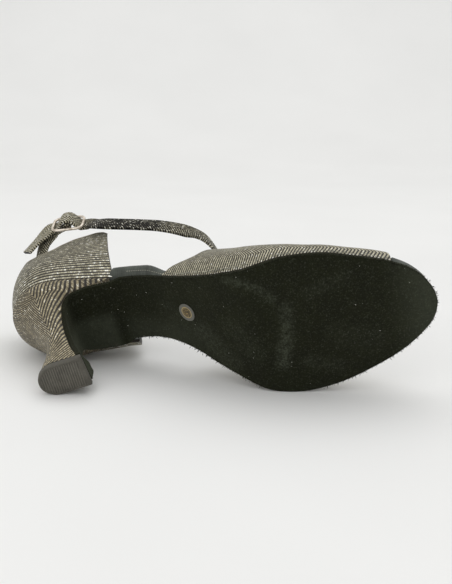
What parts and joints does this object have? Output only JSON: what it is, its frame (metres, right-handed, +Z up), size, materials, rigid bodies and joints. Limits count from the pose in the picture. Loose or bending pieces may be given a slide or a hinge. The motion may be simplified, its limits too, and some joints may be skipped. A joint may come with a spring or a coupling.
{
  "type": "ballroom dance shoe",
  "caption": "Ballroom dance sandal for the right foot, with peep toe, closed counter, buckled instep strap, flared covered heel and suede sole, lying on its side.",
  "frame": {"origin": "middle of the bounding box at the bottom, on the surface that the shoe lies on", "axes": "+X towards the toe, -Y the side that the sole faces, +Z up, with the shoe lying on its inner side"},
  "size_m": [0.2334, 0.1226, 0.081],
  "materials": {
    "suede": "napped suede, near black with an olive tint",
    "lining": "matt dark grey lining",
    "glitter_fabric": "ribbed silver and champagne glitter fabric",
    "rubber": "hard rubber with fine grooves",
    "buckle_metal": "pale champagne plated wire",
    "paper": "paper sticker, grey ring with a gold middle"
  },
  "bodies": {
    "root": {"outsole": "suede", "insole": "lining", "heel_block": "glitter_fabric", "heel_tip": "rubber", "upper_counter": "glitter_fabric", "upper_vamp": "glitter_fabric", "instep_strap": "glitter_fabric", "buckle_strap": "lining", "buckle_frame": "buckle_metal", "size_sticker": "paper"}
  },
  "joints": []
}
